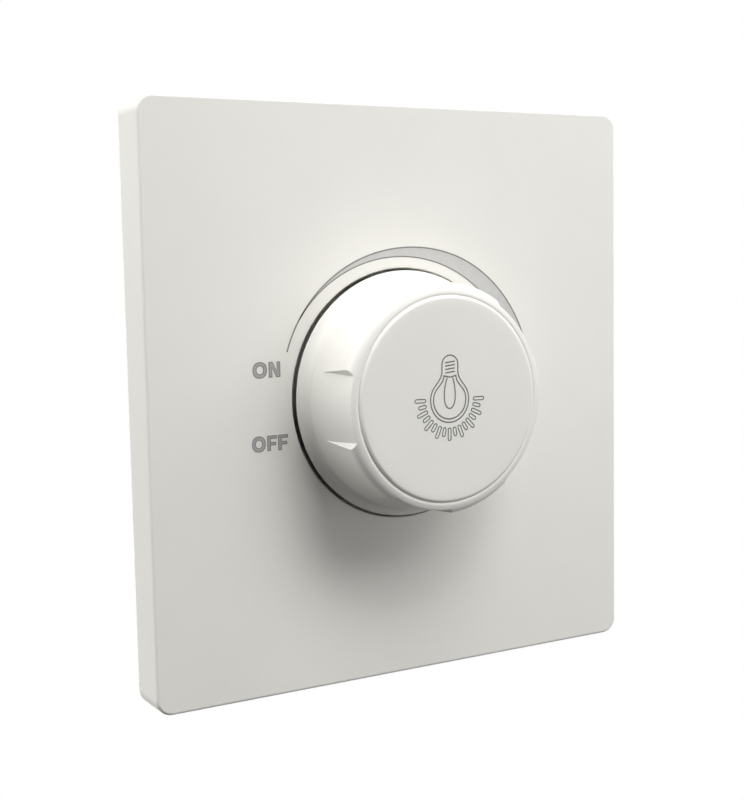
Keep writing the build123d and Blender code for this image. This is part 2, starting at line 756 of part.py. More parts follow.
# Snap switch case with the groove that the drive peg runs in
with BuildPart() as switch_case:
    with BuildSketch(facing_out(switch_back)):
        Circle(switch_radius)
    extrude(amount=switch_depth)
    fillet(switch_case.faces().sort_by(Axis.Y)[-1].edges(), switch_edge_radius)
    with BuildSketch(facing_out(can_depth + switch_groove_depth)):
        Circle(switch_groove_outer)
        Circle(switch_groove_inner, mode=Mode.SUBTRACT)
    extrude(amount=switch_groove_depth, mode=Mode.SUBTRACT)
switch_case.part.label = "switch_case"
export_step(switch_case.part, "parts/switch_case.step")

with BuildPart() as switch_tags:
    with BuildSketch(facing_out(lead_tip)):
        with Locations(*switch_tag_sites):
            Rectangle(tag_width, tag_thickness)
    extrude(amount=lead_tip - switch_back)
switch_tags.part.label = "switch_tags"
export_step(switch_tags.part, "parts/switch_tags.step")

# Circuit board: notched round the screw posts, with a hole for every lead
with BuildPart() as circuit_board:
    with BuildSketch(facing_out(board_back)):
        Rectangle(board_width, board_height)
        with GridLocations(board_width - board_notch, board_height - board_notch, 2, 2):
            Rectangle(board_notch, board_notch, mode=Mode.SUBTRACT)
        with Locations(*lead_sites):
            Circle(lead_radius + lead_play, mode=Mode.SUBTRACT)
        with Locations(triac_hole):
            Circle(triac_screw_radius + lead_play, mode=Mode.SUBTRACT)
        with Locations(*switch_tag_sites, *[(x, -tag_drop) for x in tag_columns]):
            Rectangle(tag_width + 2 * lead_play, tag_thickness + 2 * lead_play, mode=Mode.SUBTRACT)
        with Locations(*terminal_sites):
            Rectangle(tag_slot_width, tag_slot_height, mode=Mode.SUBTRACT)
    extrude(amount=board_thickness)
circuit_board.part.label = "circuit_board"
export_step(circuit_board.part, "parts/circuit_board.step")

# Heat sink plate, the triac flat on it, and the screw and nut that hold both to the board
with BuildPart() as heat_sink:
    with BuildSketch(facing_out(board_front)):
        with Locations(sink_centre):
            RectangleRounded(sink_width, sink_height, sink_corner_radius)
        with Locations(triac_hole):
            Circle(triac_screw_radius + lead_play, mode=Mode.SUBTRACT)
    extrude(amount=sink_thickness)
heat_sink.part.label = "heat_sink"
export_step(heat_sink.part, "parts/heat_sink.step")

with BuildPart() as triac_leadframe:
    with BuildSketch(facing_out(sink_front)):
        with Locations(((triac_start + triac_end) / 2, sink_centre[1])):
            Rectangle(triac_end - triac_start, triac_width)
        with Locations(triac_hole):
            Circle(triac_screw_radius + lead_play, mode=Mode.SUBTRACT)
    extrude(amount=triac_tab_thickness)
    leg_depth = package_back - triac_body_height / 2
    for x, z in triac_leg_sites:
        leg_end = x + triac_leg_thickness / 2
        with BuildSketch(facing_out(leg_depth)):
            with Locations(((triac_end + leg_end) / 2, z)):
                Rectangle(leg_end - triac_end, triac_leg_width)
        extrude(amount=triac_leg_thickness)
        with BuildSketch(facing_out(lead_tip)):
            with Locations((x, z)):
                Rectangle(triac_leg_thickness, triac_leg_width)
        extrude(amount=lead_tip - leg_depth)
triac_leadframe.part.label = "triac_leadframe"
export_step(triac_leadframe.part, "parts/triac_leadframe.step")

with BuildPart() as triac_package:
    with BuildSketch(facing_out(package_back)):
        with Locations((triac_end - triac_body_length / 2, sink_centre[1])):
            Rectangle(triac_body_length, triac_width)
    extrude(amount=triac_body_height)
    chamfer(triac_package.faces().sort_by(Axis.Y)[0].edges(), triac_edge)
triac_package.part.label = "triac_package"
export_step(triac_package.part, "parts/triac_package.step")

with BuildPart() as triac_screw:
    with BuildSketch(facing_out(package_back)):
        with Locations(triac_hole):
            Circle(triac_screw_head_radius)
    extrude(amount=triac_screw_head_height)
    with BuildSketch(facing_out(package_back)):
        with Locations(triac_hole):
            Circle(triac_screw_radius)
    extrude(amount=-(board_back + triac_nut_thickness + lead_proud - package_back))
triac_screw.part.label = "triac_screw"
export_step(triac_screw.part, "parts/triac_screw.step")

with BuildPart() as triac_nut:
    with BuildSketch(facing_out(board_back)):
        with Locations(triac_hole):
            RegularPolygon(across_flats(triac_nut_across_flats), 6)
            Circle(triac_screw_radius + screw_play, mode=Mode.SUBTRACT)
    extrude(amount=-triac_nut_thickness)
triac_nut.part.label = "triac_nut"
export_step(triac_nut.part, "parts/triac_nut.step")

# Choke: a ferrite drum with its winding, whose ends run past the lower flange to the board
with BuildPart() as choke_core:
    with BuildSketch(facing_out(board_front)):
        with Locations(choke_centre):
            Circle(choke_radius)
    extrude(amount=choke_flange)
    with BuildSketch(facing_out(board_front - choke_flange)):
        with Locations(choke_centre):
            Circle(choke_core_radius)
    extrude(amount=choke_length - 2 * choke_flange)
    with BuildSketch(facing_out(board_front - choke_length + choke_flange)):
        with Locations(choke_centre):
            Circle(choke_radius)
    extrude(amount=choke_flange)
choke_core.part.label = "choke_core"
export_step(choke_core.part, "parts/choke_core.step")

with BuildPart() as choke_winding:
    winding_back = board_front - choke_flange - winding_play
    with BuildSketch(facing_out(winding_back)):
        with Locations(choke_centre):
            Circle(choke_radius - winding_inset)
            Circle(choke_core_radius + winding_play, mode=Mode.SUBTRACT)
    extrude(amount=choke_length - 2 * (choke_flange + winding_play))
    for x, z in choke_lead_sites:
        towards = 1 if z > choke_centre[1] else -1
        with BuildSketch(facing_out(winding_back)):
            with Locations((x, z - towards * winding_tail / 2)):
                Rectangle(2 * lead_radius, winding_tail)
        extrude(amount=2 * lead_radius)
        with BuildSketch(facing_out(lead_tip)):
            with Locations((x, z)):
                Circle(lead_radius)
        extrude(amount=lead_tip - winding_back + 2 * lead_radius)
choke_winding.part.label = "choke_winding"
export_step(choke_winding.part, "parts/choke_winding.step")

# Film capacitor across the line
with BuildPart() as film_capacitor:
    with BuildSketch(facing_out(board_front)):
        with Locations(film_cap_centre):
            RectangleRounded(film_cap_width, film_cap_height, film_cap_corner_radius)
    extrude(amount=film_cap_depth)
    with BuildSketch(facing_out(lead_tip)):
        with Locations(*film_cap_lead_sites):
            Circle(lead_radius)
    extrude(amount=lead_tip - board_front)
film_capacitor.part.label = "film_capacitor"
export_step(film_capacitor.part, "parts/film_capacitor.step")

# Timing capacitors: two discs on edge
with BuildPart() as timing_capacitors:
    disc_depth = board_front - timing_cap_rise - timing_cap_radius
    for x in (-timing_cap_offset[0], timing_cap_offset[0]):
        with Locations((x, disc_depth, timing_cap_offset[1])):
            Cylinder(timing_cap_radius, timing_cap_thickness)
    with BuildSketch(facing_out(lead_tip)):
        with Locations(*timing_cap_lead_sites):
            Circle(lead_radius)
    extrude(amount=lead_tip - disc_depth)
timing_capacitors.part.label = "timing_capacitors"
export_step(timing_capacitors.part, "parts/timing_capacitors.step")


def axial_part(centre, radius, length, along_x):
    """Adds a round body that lies just above the board, with a bent lead at each end."""
    body_depth = board_front - axial_rise - radius
    turn = (0, 90, 0) if along_x else (0, 0, 0)
    with Locations((centre[0], body_depth, centre[1])):
        Cylinder(radius, length, rotation=turn)
        Cylinder(lead_radius, length + 2 * axial_lead_reach, rotation=turn)
    sites = axial_lead_sites(centre, length, along_x)
    with Locations(*[(x, (body_depth + lead_tip) / 2, z) for x, z in sites]):
        Cylinder(lead_radius, lead_tip - body_depth, rotation=(90, 0, 0))


with BuildPart() as resistors:
    for x in (-resistor_offset, resistor_offset):
        axial_part((x, axial_row), resistor_radius, resistor_length, True)
resistors.part.label = "resistors"
export_step(resistors.part, "parts/resistors.step")

with BuildPart() as diac:
    axial_part((0, axial_row), diac_radius, diac_length, True)
diac.part.label = "diac"
export_step(diac.part, "parts/diac.step")

with BuildPart() as fuse:
    axial_part(fuse_centre, fuse_radius, fuse_length, False)
fuse.part.label = "fuse"
export_step(fuse.part, "parts/fuse.step")

# Wire terminals: brass pillars on the housing's step, each with a wire hole, a clamp screw and a tag
for name, site in zip(("line_terminal", "load_terminal"), terminal_sites):
    with BuildPart() as terminal:
        with BuildSketch(facing_out(step_floor + terminal_depth)):
            with Locations(site):
                Rectangle(terminal_width, terminal_height)
        extrude(amount=terminal_depth)
        with BuildSketch(facing_out(step_floor)):
            with Locations(site):
                Rectangle(terminal_tag_width, terminal_tag_thickness)
        extrude(amount=step_floor - board_front + lead_proud)
        with BuildSketch(facing_out(step_floor + terminal_depth)):
            with Locations(site):
                Circle(wire_radius)
        extrude(amount=wire_hole_depth, mode=Mode.SUBTRACT)
        with BuildSketch(Plane.XY.offset(site[1] - terminal_height / 2)):
            with Locations((site[0], terminal_screw_depth)):
                Circle(terminal_screw_radius + screw_play)
        extrude(amount=terminal_height / 2, mode=Mode.SUBTRACT)
    terminal.part.label = name
    export_step(terminal.part, f"parts/{name}.step")

with BuildPart() as terminal_screws:
    screw_top = terminal_centre - wire_radius - terminal_screw_stop
    pillar_foot = terminal_centre - terminal_height / 2
    screw_columns = [(x, terminal_screw_depth) for x, _ in terminal_sites]
    with BuildSketch(Plane.XY.offset(pillar_foot - terminal_screw_head_height)):
        with Locations(*screw_columns):
            Circle(terminal_screw_head_radius)
            Rectangle(2 * terminal_screw_head_radius, terminal_slot_width, mode=Mode.SUBTRACT)
    extrude(amount=terminal_slot_depth)
    with BuildSketch(Plane.XY.offset(pillar_foot - terminal_screw_head_height + terminal_slot_depth)):
        with Locations(*screw_columns):
            Circle(terminal_screw_head_radius)
    extrude(amount=terminal_screw_head_height - terminal_slot_depth)
    with BuildSketch(Plane.XY.offset(pillar_foot)):
        with Locations(*screw_columns):
            Circle(terminal_screw_radius)
    extrude(amount=screw_top - pillar_foot)
terminal_screws.part.label = "terminal_screws"
export_step(terminal_screws.part, "parts/terminal_screws.step")
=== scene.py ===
import json

import bpy
import numpy as np
from mathutils import Matrix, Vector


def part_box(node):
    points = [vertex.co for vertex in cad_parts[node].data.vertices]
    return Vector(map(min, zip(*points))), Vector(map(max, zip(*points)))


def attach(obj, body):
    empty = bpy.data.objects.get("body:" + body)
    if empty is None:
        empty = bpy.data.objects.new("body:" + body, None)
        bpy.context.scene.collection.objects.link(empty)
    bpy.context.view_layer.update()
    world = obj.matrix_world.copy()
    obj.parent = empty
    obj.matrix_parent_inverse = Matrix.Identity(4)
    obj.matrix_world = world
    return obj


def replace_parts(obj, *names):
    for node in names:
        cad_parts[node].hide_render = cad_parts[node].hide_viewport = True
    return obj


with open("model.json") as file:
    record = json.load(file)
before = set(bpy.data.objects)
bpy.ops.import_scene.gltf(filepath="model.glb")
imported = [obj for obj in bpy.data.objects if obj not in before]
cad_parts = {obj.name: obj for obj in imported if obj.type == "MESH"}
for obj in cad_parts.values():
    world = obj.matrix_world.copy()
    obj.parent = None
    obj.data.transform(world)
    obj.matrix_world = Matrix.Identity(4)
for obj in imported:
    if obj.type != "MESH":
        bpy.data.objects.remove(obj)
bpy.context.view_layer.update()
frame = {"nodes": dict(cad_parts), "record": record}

# Sizes of the part are in mm, with x to the right, y into the wall and z up
MM = 0.001
PLATE_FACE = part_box("face_plate")[0].y / MM
CAP_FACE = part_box("knob_cap")[0].y / MM
WAFER_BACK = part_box("pot_wafer")[1].y / MM
BOARD_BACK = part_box("circuit_board")[1].y / MM
LEAD_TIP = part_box("film_capacitor")[1].y / MM


# Finishes

SPECULAR = 0.3
FINE_DETAIL = 3.0
BROAD_DETAIL = 2.0
GRAIN_SHARE = 0.35  # how far the fine grain joins the broad clouds in the colour
TONE_LEVELS = (0.45, 0.9)  # noise levels of the darker and the lighter shade
GLOSS_LEVELS = (0.3, 0.7)  # noise levels of the least and the most roughness


def noise(nodes, links, size, detail, vector):
    """A noise texture with features of about a size in mm."""
    texture = nodes.new("ShaderNodeTexNoise")
    texture.inputs["Scale"].default_value = 1 / (size * MM)
    texture.inputs["Detail"].default_value = detail
    links.new(vector, texture.inputs["Vector"])
    return texture


def surface_finish(name, colour, shade, rough, spread, grain, cloud, relief, metal=0.0, stretch=(1, 1, 1)):
    """A finish whose colour drifts between two close shades and whose grain moves roughness and relief.

    grain and cloud are the sizes of the fine and the broad variation and relief is the height of the
    grain, all in mm. spread is how far the roughness strays from rough. stretch squeezes the grain along
    an axis, to draw it out as turning or rolling marks.
    """
    material = bpy.data.materials.new(name)
    material.use_nodes = True
    nodes, links = material.node_tree.nodes, material.node_tree.links
    shader = next(n for n in nodes if n.type == "BSDF_PRINCIPLED")
    shader.inputs["Metallic"].default_value = metal
    shader.inputs["Specular IOR Level"].default_value = SPECULAR
    place = nodes.new("ShaderNodeTexCoord")
    drawn = nodes.new("ShaderNodeMapping")
    drawn.inputs["Scale"].default_value = stretch
    links.new(place.outputs["Object"], drawn.inputs["Vector"])
    fine = noise(nodes, links, grain, FINE_DETAIL, drawn.outputs["Vector"])
    broad = noise(nodes, links, cloud, BROAD_DETAIL, place.outputs["Object"])
    both = nodes.new("ShaderNodeMath")
    both.operation = "MULTIPLY_ADD"
    both.inputs[1].default_value = GRAIN_SHARE
    links.new(fine.outputs["Fac"], both.inputs[0])
    links.new(broad.outputs["Fac"], both.inputs[2])
    tone = nodes.new("ShaderNodeValToRGB")
    for stop, level, tint in zip(tone.color_ramp.elements, TONE_LEVELS, (shade, colour)):
        stop.position = level
        stop.color = (*tint, 1)
    links.new(both.outputs["Value"], tone.inputs["Fac"])
    links.new(tone.outputs["Color"], shader.inputs["Base Color"])
    gloss = nodes.new("ShaderNodeMapRange")
    gloss.inputs["From Min"].default_value = GLOSS_LEVELS[0]
    gloss.inputs["From Max"].default_value = GLOSS_LEVELS[1]
    gloss.inputs["To Min"].default_value = rough - spread
    gloss.inputs["To Max"].default_value = rough + spread
    links.new(fine.outputs["Fac"], gloss.inputs["Value"])
    links.new(gloss.outputs["Result"], shader.inputs["Roughness"])
    bump = nodes.new("ShaderNodeBump")
    bump.inputs["Strength"].default_value = 1.0
    bump.inputs["Distance"].default_value = relief * MM
    links.new(fine.outputs["Fac"], bump.inputs["Height"])
    links.new(bump.outputs["Normal"], shader.inputs["Normal"])
    return material


INK = dict(rough=0.5, spread=0.05, grain=0.1, cloud=0.8, relief=0.002)
PAINT = dict(rough=0.4, spread=0.05, grain=0.1, cloud=0.8, relief=0.003)
LOOKS = {
    "white_moulding": dict(
        colour=(0.816, 0.805, 0.761), shade=(0.796, 0.785, 0.739),
        rough=0.36, spread=0.04, grain=0.35, cloud=14.0, relief=0.0012,
    ),
    "black_moulding": dict(
        colour=(0.016, 0.016, 0.017), shade=(0.009, 0.009, 0.01),
        rough=0.6, spread=0.1, grain=0.4, cloud=9.0, relief=0.012,
    ),
    "pale_moulding": dict(
        colour=(0.72, 0.70, 0.62), shade=(0.64, 0.62, 0.54),
        rough=0.45, spread=0.06, grain=0.3, cloud=5.0, relief=0.003,
    ),
    "phenolic": dict(
        colour=(0.27, 0.13, 0.06), shade=(0.14, 0.06, 0.03),
        rough=0.5, spread=0.1, grain=0.25, cloud=1.2, relief=0.006,
    ),
    "zinc_steel": dict(
        colour=(0.62, 0.63, 0.65), shade=(0.5, 0.51, 0.5),
        rough=0.34, spread=0.08, grain=0.22, cloud=3.0, relief=0.002, metal=1.0,
    ),
    "shaft_alloy": dict(
        colour=(0.72, 0.72, 0.73), shade=(0.6, 0.6, 0.61),
        rough=0.3, spread=0.08, grain=0.5, cloud=4.0, relief=0.003, metal=1.0, stretch=(0.05, 4.0, 0.05),
    ),
    "sink_alloy": dict(
        colour=(0.7, 0.71, 0.72), shade=(0.57, 0.58, 0.59),
        rough=0.36, spread=0.08, grain=0.6, cloud=4.0, relief=0.002, metal=1.0, stretch=(0.08, 1.0, 3.0),
    ),
    "tinned_metal": dict(
        colour=(0.74, 0.74, 0.71), shade=(0.6, 0.6, 0.57),
        rough=0.3, spread=0.1, grain=0.3, cloud=1.5, relief=0.003, metal=1.0,
    ),
    "brass": dict(
        colour=(0.78, 0.58, 0.26), shade=(0.58, 0.4, 0.17),
        rough=0.28, spread=0.09, grain=0.3, cloud=2.5, relief=0.002, metal=1.0,
    ),
    "laminate": dict(
        colour=(0.5, 0.36, 0.17), shade=(0.38, 0.26, 0.11),
        rough=0.55, spread=0.06, grain=0.3, cloud=4.0, relief=0.004, stretch=(1, 1, 4),
    ),
    "black_epoxy": dict(
        colour=(0.03, 0.03, 0.03), shade=(0.016, 0.016, 0.017),
        rough=0.55, spread=0.1, grain=0.12, cloud=2.0, relief=0.006,
    ),
    "ferrite": dict(
        colour=(0.06, 0.06, 0.065), shade=(0.03, 0.03, 0.032),
        rough=0.6, spread=0.1, grain=0.15, cloud=1.5, relief=0.01,
    ),
    "copper_wire": dict(
        colour=(0.62, 0.26, 0.1), shade=(0.42, 0.15, 0.06),
        rough=0.25, spread=0.06, grain=0.4, cloud=1.5, relief=0.002, metal=0.9,
    ),
    "film_case": dict(
        colour=(0.66, 0.5, 0.08), shade=(0.56, 0.41, 0.06),
        rough=0.4, spread=0.05, grain=0.2, cloud=3.0, relief=0.003,
    ),
    "ceramic": dict(
        colour=(0.62, 0.38, 0.16), shade=(0.5, 0.29, 0.11),
        rough=0.45, spread=0.08, grain=0.3, cloud=1.4, relief=0.01,
    ),
    "resistor_lacquer": dict(
        colour=(0.68, 0.54, 0.33), shade=(0.57, 0.44, 0.26),
        rough=0.4, spread=0.06, grain=0.25, cloud=1.2, relief=0.005,
    ),
    "glass_blue": dict(
        colour=(0.07, 0.14, 0.4), shade=(0.04, 0.09, 0.28),
        rough=0.2, spread=0.04, grain=0.3, cloud=1.0, relief=0.002,
    ),
    "wedge_ink": dict(INK, colour=(0.56, 0.555, 0.54), shade=(0.52, 0.515, 0.50), grain=0.12, cloud=1.5),
    "letter_ink": dict(INK, colour=(0.42, 0.41, 0.395), shade=(0.37, 0.36, 0.35)),
    "edge_ink": dict(INK, colour=(0.24, 0.235, 0.225), shade=(0.19, 0.185, 0.18)),
    "mark_ink": dict(INK, colour=(0.14, 0.138, 0.135), shade=(0.11, 0.108, 0.105)),
    "carbon_film": dict(
        colour=(0.03, 0.03, 0.03), shade=(0.018, 0.018, 0.018),
        rough=0.6, spread=0.1, grain=0.1, cloud=1.5, relief=0.004,
    ),
    "brown_paint": dict(PAINT, colour=(0.13, 0.05, 0.02), shade=(0.09, 0.034, 0.014)),
    "black_paint": dict(PAINT, colour=(0.014, 0.014, 0.014), shade=(0.009, 0.009, 0.009)),
    "orange_paint": dict(PAINT, colour=(0.62, 0.2, 0.03), shade=(0.5, 0.15, 0.02)),
    "gold_paint": dict(PAINT, colour=(0.62, 0.47, 0.16), shade=(0.5, 0.37, 0.12), rough=0.35, metal=0.7),
}
finishes = {name: surface_finish(name, **look) for name, look in LOOKS.items()}
slot_of = {entry["node"]: entry["material_slot"] for entry in frame["record"]["subparts"]}
for node, solid in frame["nodes"].items():
    solid.data.materials.clear()
    solid.data.materials.append(finishes[slot_of[node]])


# Lines and flat shapes, as (x, z) points

MITRE_LIMIT = 2.0  # the most that a corner lengthens a normal
CURVE_POINTS = 24
SMALL_ARC_POINTS = 9


def full_turn(count):
    """Even angles round a full turn, the last of them one step before the first."""
    return np.linspace(0, 2 * np.pi, count, endpoint=False)


def polar(azimuth, radius):
    """Points at angles that run anticlockwise from the right, and at radii."""
    return np.column_stack([radius * np.cos(azimuth), radius * np.sin(azimuth)])


def rotated(points, angle):
    """Points turned anticlockwise about the origin."""
    c, s = np.cos(angle), np.sin(angle)
    return points @ np.array([[c, s], [-s, c]])


def closed(line):
    """A line with its first point once more at its end."""
    return np.concatenate([line, line[:1]])


def mirrored(half):
    """A whole outline from its right half, which runs upwards and starts and ends on the centre line."""
    return np.concatenate([half, (half[1:-1] * (-1, 1))[::-1]])


def bezier(p0, p1, p2, p3):
    """A cubic curve between its end points: (1-t)^3 p0 + 3(1-t)^2 t p1 + 3(1-t) t^2 p2 + t^3 p3."""
    t = np.linspace(0, 1, CURVE_POINTS)[:, None]
    p0, p1, p2, p3 = (np.array(p, float) for p in (p0, p1, p2, p3))
    return (1 - t) ** 3 * p0 + 3 * (1 - t) ** 2 * t * p1 + 3 * (1 - t) * t**2 * p2 + t**3 * p3


def smooth_through(stations, values, at):
    """A curve through values at even stations, a cubic per span.

    The slope at a station is half the difference between its neighbours' values. With u from 0 to 1
    along a span from value a and slope m to value b and slope n, the curve is
    (2u^3-3u^2+1) a + (u^3-2u^2+u) m + (3u^2-2u^3) b + (u^3-u^2) n.
    """
    values = np.asarray(values, float)
    slope = np.gradient(values)
    span = (at - stations[0]) / (stations[1] - stations[0])
    i = np.clip(span.astype(int), 0, len(stations) - 2)
    u = span - i
    rise = (2 * u**3 - 3 * u**2 + 1) * values[i] + (3 * u**2 - 2 * u**3) * values[i + 1]
    return rise + (u**3 - 2 * u**2 + u) * slope[i] + (u**3 - u**2) * slope[i + 1]


def ribbon(path, width, loop=False):
    """A flat band along a path, both edges half the width off along the mitred normals.

    Each point's normal is the sum of its two neighbouring runs' unit normals, lengthened by 1/cos of
    half the bend, so that the band keeps its width round a corner. The quads face the room.
    """
    path = np.asarray(path, float)
    ahead = np.roll(path, -1, axis=0) - path
    if not loop:
        ahead[-1] = ahead[-2]
    ahead /= np.linalg.norm(ahead, axis=1)[:, None]
    behind = np.roll(ahead, 1, axis=0)
    if not loop:
        behind[0] = ahead[0]
    left_ahead = np.column_stack([-ahead[:, 1], ahead[:, 0]])
    left_behind = np.column_stack([-behind[:, 1], behind[:, 0]])
    left = left_ahead + left_behind
    left /= np.linalg.norm(left, axis=1)[:, None]
    half_bend = np.maximum((left * left_ahead).sum(1), 1 / MITRE_LIMIT)[:, None]
    reach = left * width / 2 / half_bend
    points = np.concatenate([path + reach, path - reach])
    count = len(path)
    i = np.arange(count if loop else count - 1)
    j = (i + 1) % count
    return points, np.column_stack([i + count, j + count, j, i])


def band(inner, outer):
    """The flat strip between two open lines of equally many points, as quads that face the room."""
    count = len(inner)
    i = np.arange(count - 1)
    quads = np.column_stack([i, i + 1, i + 1 + count, i + count])
    points = np.concatenate([inner, outer])
    a, b, c = points[quads[0, :3]]
    turn = (b[0] - a[0]) * (c[1] - a[1]) - (b[1] - a[1]) * (c[0] - a[0])
    return points, quads if turn > 0 else quads[:, ::-1]


def patch(outline):
    """A flat shape of one face inside a closed line that runs anticlockwise."""
    return outline, [list(range(len(outline)))]


# Meshes

INK_LIFT = 0.006  # gap under a printed film
INK_FILM = 0.012  # thickness of a printed film


def grid_quads(rows, columns, closed_rows=False, flipped=False):
    """Quads of a grid that closes round its columns, and from its last row to its first where asked."""
    index = np.arange(rows * columns).reshape(rows, columns)
    if closed_rows:
        index = np.concatenate([index, index[:1]])
    ahead = np.roll(index, -1, axis=1)
    corners = [index[:-1], index[1:], ahead[1:], ahead[:-1]]
    return np.stack(corners[::-1] if flipped else corners, -1).reshape(-1, 4)


def turned(radius, depth, centre, count):
    """A grid of points: a profile of radii and depths turned about a line along y through (x, z)."""
    turn = full_turn(count)
    x = centre[0] + radius[:, None] * np.cos(turn)
    z = centre[1] + radius[:, None] * np.sin(turn)
    return np.stack([x, np.broadcast_to(depth[:, None], x.shape), z], -1)


def joined(parts):
    """Several parts of points and faces as one, each part's faces counted on from the points before it."""
    points, faces, start = [], [], 0
    for part_points, part_faces in parts:
        points.append(part_points)
        faces += [[int(k) + start for k in face] for face in part_faces]
        start += len(part_points)
    return np.concatenate(points), faces


def add_piece(name, points, faces, finish_names, body):
    """One piece on a body of the frame, from points in mm, with its finishes."""
    mesh = bpy.data.meshes.new(name)
    mesh.from_pydata((points.reshape(-1, 3) * MM).tolist(), [], faces)
    for finish in finish_names:
        mesh.materials.append(finishes[finish])
    piece = bpy.data.objects.new(name, mesh)
    bpy.context.scene.collection.objects.link(piece)
    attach(piece, body)
    return piece


def printed(name, shapes, depth, body, finish, facing=-1):
    """One thin film: flat shapes laid just off a face at a depth, facing the room (-1) or the wall (1)."""
    flat, faces = joined(shapes)
    points = np.column_stack([flat[:, 0], np.full(len(flat), depth + facing * INK_LIFT), flat[:, 1]])
    piece = add_piece(name, points, [face[::-facing] for face in faces], [finish], body)
    film = piece.modifiers.new("ink thickness", "SOLIDIFY")
    film.thickness = INK_FILM * MM
    film.offset = 1.0


def smooth_piece(name, points, faces, finish_names, body, face_finish=None):
    """A smooth piece, each face with one of the named finishes."""
    piece = add_piece(name, points, faces, finish_names, body)
    polygons = piece.data.polygons
    polygons.foreach_set("use_smooth", np.ones(len(polygons), bool))
    if face_finish is not None:
        polygons.foreach_set("material_index", face_finish)
    return piece


# The dimming wedge: a strip round the knob that starts as one line beside ON and widens clockwise

WEDGE_STATIONS = np.arange(-30, 181, 15)  # degrees
WEDGE_OUTER_RADII = [
    24.55, 24.68, 24.76, 24.76, 24.65, 24.38, 23.96, 23.40,
    22.91, 22.60, 22.37, 22.17, 21.96, 21.69, 21.4,
]
WEDGE_INNER_RADII = [
    21.90, 21.86, 21.80, 21.75, 21.69, 21.62, 21.55, 21.51,
    21.55, 21.66, 21.80, 21.97, 21.96, 21.69, 21.4,
]
WEDGE_ENDS = (159.8, -28.0)  # degrees, from the thin end to the wide one
WEDGE_POINTS = 260
WEDGE_LEAST = 0.03  # width at which the fill starts
WEDGE_OUTER_LINE = 0.22
WEDGE_INNER_LINE = 0.18


def dimming_wedge():
    """The wedge's fill and lines, between smooth curves through its radii at the stations."""
    sweep = np.linspace(*WEDGE_ENDS, WEDGE_POINTS)
    outer = smooth_through(WEDGE_STATIONS, WEDGE_OUTER_RADII, sweep)
    inner = np.minimum(smooth_through(WEDGE_STATIONS, WEDGE_INNER_RADII, sweep), outer)
    first = np.argmax(outer - inner > WEDGE_LEAST)
    outer_line = polar(np.radians(sweep), outer)
    inner_line = polar(np.radians(sweep), inner)[first:]
    lines = [
        ribbon(outer_line, WEDGE_OUTER_LINE),
        ribbon(inner_line, WEDGE_INNER_LINE),
        ribbon([outer_line[-1], inner_line[-1]], WEDGE_INNER_LINE),
    ]
    printed("dimming_wedge_fill", [band(inner_line, outer_line[first:])], PLATE_FACE, "base", "wedge_ink")
    printed("dimming_wedge_lines", lines, PLATE_FACE - INK_FILM, "base", "edge_ink")


dimming_wedge()


# ON and OFF

LETTER_EDGE = 0.13  # width of the darker line round a letter
CAPITAL = 2.22  # height of the straight letters
STROKE = 0.47
ROUND_STROKE = 0.5
OVAL_POINTS = 72
OUTER_POWER = 2.35
INNER_POWER = 2.1
ON_FOOT = 3.92
OFF_FOOT = -7.15


def oval(centre, half_width, half_height, power):
    """A superellipse: |x/a|^p + |z/b|^p = 1, squarer than an ellipse for a power over 2."""
    t = full_turn(OVAL_POINTS)
    c, s = np.cos(t), np.sin(t)
    x = half_width * np.sign(c) * np.abs(c) ** (2 / power)
    z = half_height * np.sign(s) * np.abs(s) ** (2 / power)
    return np.column_stack([centre[0] + x, centre[1] + z])


def letter_o(left, foot, width, height):
    """Outer and inner line of an O that stands at (left, foot)."""
    centre = (left + width / 2, foot + height / 2)
    outer = oval(centre, width / 2, height / 2, OUTER_POWER)
    inner = oval(centre, width / 2 - ROUND_STROKE, height / 2 - ROUND_STROKE, INNER_POWER)
    return outer, inner


def letter_n(left, foot, width):
    """Closed outline of an N, anticlockwise from its lower left corner."""
    slant = 1.25 * STROKE
    notch = 1.25 * slant
    outline = [
        (0, 0),
        (STROKE, 0),
        (STROKE, CAPITAL - notch),
        (width - slant, 0),
        (width, 0),
        (width, CAPITAL),
        (width - STROKE, CAPITAL),
        (width - STROKE, notch),
        (slant, CAPITAL),
        (0, CAPITAL),
    ]
    return np.array(outline) + (left, foot)


def letter_f(left, foot, width):
    """Closed outline of an F, anticlockwise from its foot."""
    arm_height = 0.46 * CAPITAL
    arm_half = 0.42 * STROKE
    arm_end = 0.9 * width
    bar_foot = CAPITAL - 0.86 * STROKE
    outline = [
        (0, 0),
        (STROKE, 0),
        (STROKE, arm_height - arm_half),
        (arm_end, arm_height - arm_half),
        (arm_end, arm_height + arm_half),
        (STROKE, arm_height + arm_half),
        (STROKE, bar_foot),
        (width, bar_foot),
        (width, CAPITAL),
        (0, CAPITAL),
    ]
    return np.array(outline) + (left, foot)


def word(name, letters):
    """A word of ink-filled letters, each with a fine darker edge."""
    fills, edges = [], []
    for shape in letters:
        if isinstance(shape, tuple):
            outer, inner = shape
            fills.append(band(closed(inner), closed(outer)))
            edges += [ribbon(outer, LETTER_EDGE, True), ribbon(inner, LETTER_EDGE, True)]
        else:
            fills.append(patch(shape))
            edges.append(ribbon(shape, LETTER_EDGE, True))
    printed(name + "_fill", fills, PLATE_FACE, "base", "letter_ink")
    printed(name + "_edge", edges, PLATE_FACE - INK_FILM, "base", "edge_ink")


word(
    "word_on",
    [
        letter_o(left=-26.15, foot=3.87, width=2.22, height=2.32),
        letter_n(left=-23.52, foot=ON_FOOT, width=1.8),
    ],
)
word(
    "word_off",
    [
        letter_o(left=-26.58, foot=-7.2, width=2.12, height=2.28),
        letter_f(left=-24.08, foot=OFF_FOOT, width=1.5),
        letter_f(left=-22.26, foot=OFF_FOOT, width=1.54),
    ],
)


